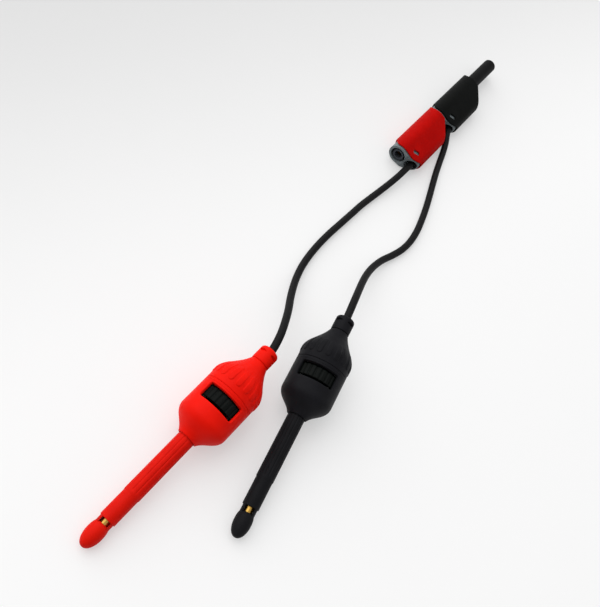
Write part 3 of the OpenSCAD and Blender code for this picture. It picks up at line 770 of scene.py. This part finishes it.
def make_shell(colour):
    """The coloured sleeve of a plug, wavy at both rims, with a latch window on its flat."""
    ring = outline()
    travel = [0.0]
    for (a, _), (b, _) in zip(ring, ring[1:] + ring[:1]):
        travel.append(travel[-1] + (b - a).length)
    over_latch = Vector((LATCH_X, LATCH_OVER))
    near = min(range(len(ring)), key=lambda i: (ring[i][0] - over_latch).length)
    window = Window(travel[near], LATCH_Y, *LATCH_HALF, LATCH_CORNER, math.radians(-LATCH_TURN))

    def ends(i):
        point = ring[i][0]
        rear = WAVE_TOP + (WAVE_SIDE - WAVE_TOP) * wave(point.y)
        rear -= CABLE_SIDE_REACH * smooth((point.x - CABLE_SIDE_X) / 6)
        front = BODY_LEN + SKIRT_LEN * wave(point.y)
        return rear, min(front, CHAMFER_SUM - point.x)

    def place(i, y, drop):
        low = int(math.floor(i)) % len(ring)
        high = (low + 1) % len(ring)
        t = i - math.floor(i)
        point = ring[low][0].lerp(ring[high][0], t)
        normal = ring[low][1].lerp(ring[high][1], t).normalized()
        point = point - normal * drop
        return (point.x, y, point.y)

    rim = SHELL_RIM
    shares = spaced(0.0, 1.0, (0.13,), 0.006, 0.05, 0.1)
    sweep = [math.radians(x) for x in (22, 45, 68, 90)]
    rows, gone = [], []

    def index_at(u):
        for k in range(len(ring)):
            if travel[k] <= u <= travel[k + 1]:
                return k + (u - travel[k]) / (travel[k + 1] - travel[k])
        return float(near)

    def skin_row(share, drop, side):
        row = []
        for i in range(len(ring)):
            rear, front = ends(i)
            y = rear + rim + (front - rear - 2 * rim) * share
            at, depth = float(i), drop
            away, eu, ev = window.look(travel[i], y)
            if away < LATCH_EDGE:
                depth = lip(away, side, SHELL_T, LATCH_EDGE, LATCH_RUN)
                if away < 0:
                    at, y = index_at(eu), ev
            row.append(place(at, y, depth))
            gone.append(away <= -LATCH_RUN)
        rows.append(row)

    def rim_row(front_end, angle, outer):
        row = []
        for i in range(len(ring)):
            rear, front = ends(i)
            rise = rim * math.sin(angle)
            fall = rim * (1 - math.cos(angle))
            y = front - rim + rise if front_end else rear + rim - rise
            row.append(place(float(i), y, fall if outer else SHELL_T - fall))
            gone.append(False)
        rows.append(row)

    for share in shares:
        skin_row(share, 0.0, 1)
    for angle in sweep:
        rim_row(True, angle, True)
    for angle in reversed(sweep):
        rim_row(True, angle, False)
    for share in reversed(shares):
        skin_row(share, SHELL_T, 2)
    for angle in sweep:
        rim_row(False, angle, False)
    for angle in reversed(sweep):
        rim_row(False, angle, True)
    verts = [point for row in rows for point in row]
    where = Matrix.Translation(Vector((PLUG_X, PLUG_Y[colour], 0)) * MM)
    piece = link_mesh(colour + "_sleeve", verts, woven(rows, True, gone), where)
    dress(piece, colour, "plug_shell")


def soften(node, width, angle=35):
    """Rounds the sharp edges of a CAD piece with a modifier, its own mesh left as it is."""
    piece = nodes[node]
    for face in piece.data.polygons:
        face.use_smooth = True
    bevel = piece.modifiers.new("edges", "BEVEL")
    bevel.width = width * MM
    bevel.segments = 3
    bevel.limit_method = "ANGLE"
    bevel.angle_limit = math.radians(angle)
    bevel.use_clamp_overlap = True
    bevel.harden_normals = True


for colour in COLOURS:
    make_shell(colour)
    soften(colour + "_plug_core", 0.22)
    soften(colour + "_plug_shroud", 0.18)
    soften(colour + "_plug_liner", 0.1)
    # The liners get the darker grey, which is partly painted shade of the socket's recess.
    paint(nodes[colour + "_plug_liner"], "liner")

# ------------------------------------------------------------------ cords

PLUG_PARTS = ("plug_core", "plug_shroud", "plug_pin", "plug_lantern", "plug_socket",
              "plug_liner", "plug_bus_bar", "plug_crimp")
for colour in COLOURS:
    cable, exit_point, length = cables[colour]
    dress(cable, colour, "cord")
    on_it = [nodes[colour + "_" + part] for part in PLUG_PARTS]
    on_it.append(bpy.data.objects[colour + "_sleeve"])
    tuple(exit_point)

# ------------------------------------------------------------------ floor and light

FLOOR_SIZE = 6                       # metres
FLOOR_AT = (0, -0.1, -0.02 * MM)
FLOOR_SHADE_SLOPE = (1, -0.35, 0)          # painted shade: the card is painted lighter this way, between these two places along it, where 0.5 is the origin, from the first level to the second
FLOOR_SPAN = (0.28, 0.56)            # between these two places along it, where 0.5 is
FLOOR_SHADE_LEVELS = (0.73, 0.975)          # the origin, from the first tone to the second
FLOOR_CLOUDS = 0.02
FLOOR_LIT, FLOOR_GLOW = 0.55, 0.42   # the shares of its look that are lit and plain white
WORLD_LEVEL = 0.43                   # brightness of the room at the height of the table
WORLD_SLOPE = (-0.17, 0.33, 0.27)    # how it rises towards the far left and the ceiling
WORLD_SEEN = 0.92                    # and what the camera and reflections see of it
LAMP_SIZE, LAMP_WATTS = 3.5, 56.0
LAMP_AIM = Vector((0.02, -0.17, 0.0))
LAMP_FROM_AIM = Vector((-1.7, 0.25, 1.7))


def make_floor():
    """White card with painted shade, darker towards one corner. The camera and reflections see part
    of it as plain white, which keeps the shadows faint."""
    bpy.ops.mesh.primitive_plane_add(size=FLOOR_SIZE, location=FLOOR_AT)
    floor = bpy.context.object
    floor.name = "floor"
    look = Paint("floor")
    # Painted shade: the card's colour darkens towards one corner, where the light falls off.
    place = look.math("MULTIPLY_ADD", look.noise(0.004, 2.0), FLOOR_CLOUDS,
                      look.along(look.where, FLOOR_SHADE_SLOPE))
    painted_shade = look.ramp(look.math("ADD", place, 0.5), *FLOOR_SHADE_LEVELS, FLOOR_SPAN)
    painted_shade.node.color_ramp.interpolation = "EASE"
    seen = look.seen()
    lit = look.add("ShaderNodeMix", data_type="RGBA", blend_type="MULTIPLY")
    look.link(seen, lit.inputs["Factor"])
    look.link(painted_shade, lit.inputs[6])
    lit.inputs[7].default_value = (FLOOR_LIT, FLOOR_LIT, FLOOR_LIT, 1)
    look.link(lit.outputs[2], look.shader.inputs["Base Color"])
    look.link(look.math("MULTIPLY", seen, FLOOR_GLOW), look.shader.inputs["Emission Strength"])
    look.link(painted_shade, look.shader.inputs["Emission Color"])
    look.roughness(look.noise(0.05, 2.0), 0.7, 0.8)
    look.set(Specular_IOR_Level=0.15)
    floor.data.materials.append(look.material)


def make_world():
    """A room that is brightest over the far left side."""
    world = bpy.data.worlds.new("studio")
    world.use_nodes = True
    look = Nodes(world.node_tree)
    background = look.tree.nodes["Background"]
    background.inputs["Color"].default_value = (1, 1, 1, 1)
    towards = look.add("ShaderNodeTexCoord").outputs["Generated"]
    strength = look.add("ShaderNodeMix")
    look.link(look.seen(), strength.inputs["Factor"])
    look.link(look.math("ADD", look.along(towards, WORLD_SLOPE), WORLD_LEVEL), strength.inputs["A"])
    strength.inputs["B"].default_value = WORLD_SEEN
    look.link(strength.outputs["Result"], background.inputs["Strength"])
    bpy.context.scene.world = world


def make_light():
    """One very large soft lamp over the far left side."""
    lamp = bpy.data.lights.new("window_light", "AREA")
    lamp.shape = "SQUARE"
    lamp.size = LAMP_SIZE
    lamp.energy = LAMP_WATTS
    key = bpy.data.objects.new("window_light", lamp)
    bpy.context.scene.collection.objects.link(key)
    key.location = LAMP_AIM + LAMP_FROM_AIM
    key.rotation_euler = (-LAMP_FROM_AIM).to_track_quat("-Z", "Y").to_euler()


make_floor()
make_world()
make_light()
bpy.context.scene.view_settings.view_transform = "Standard"
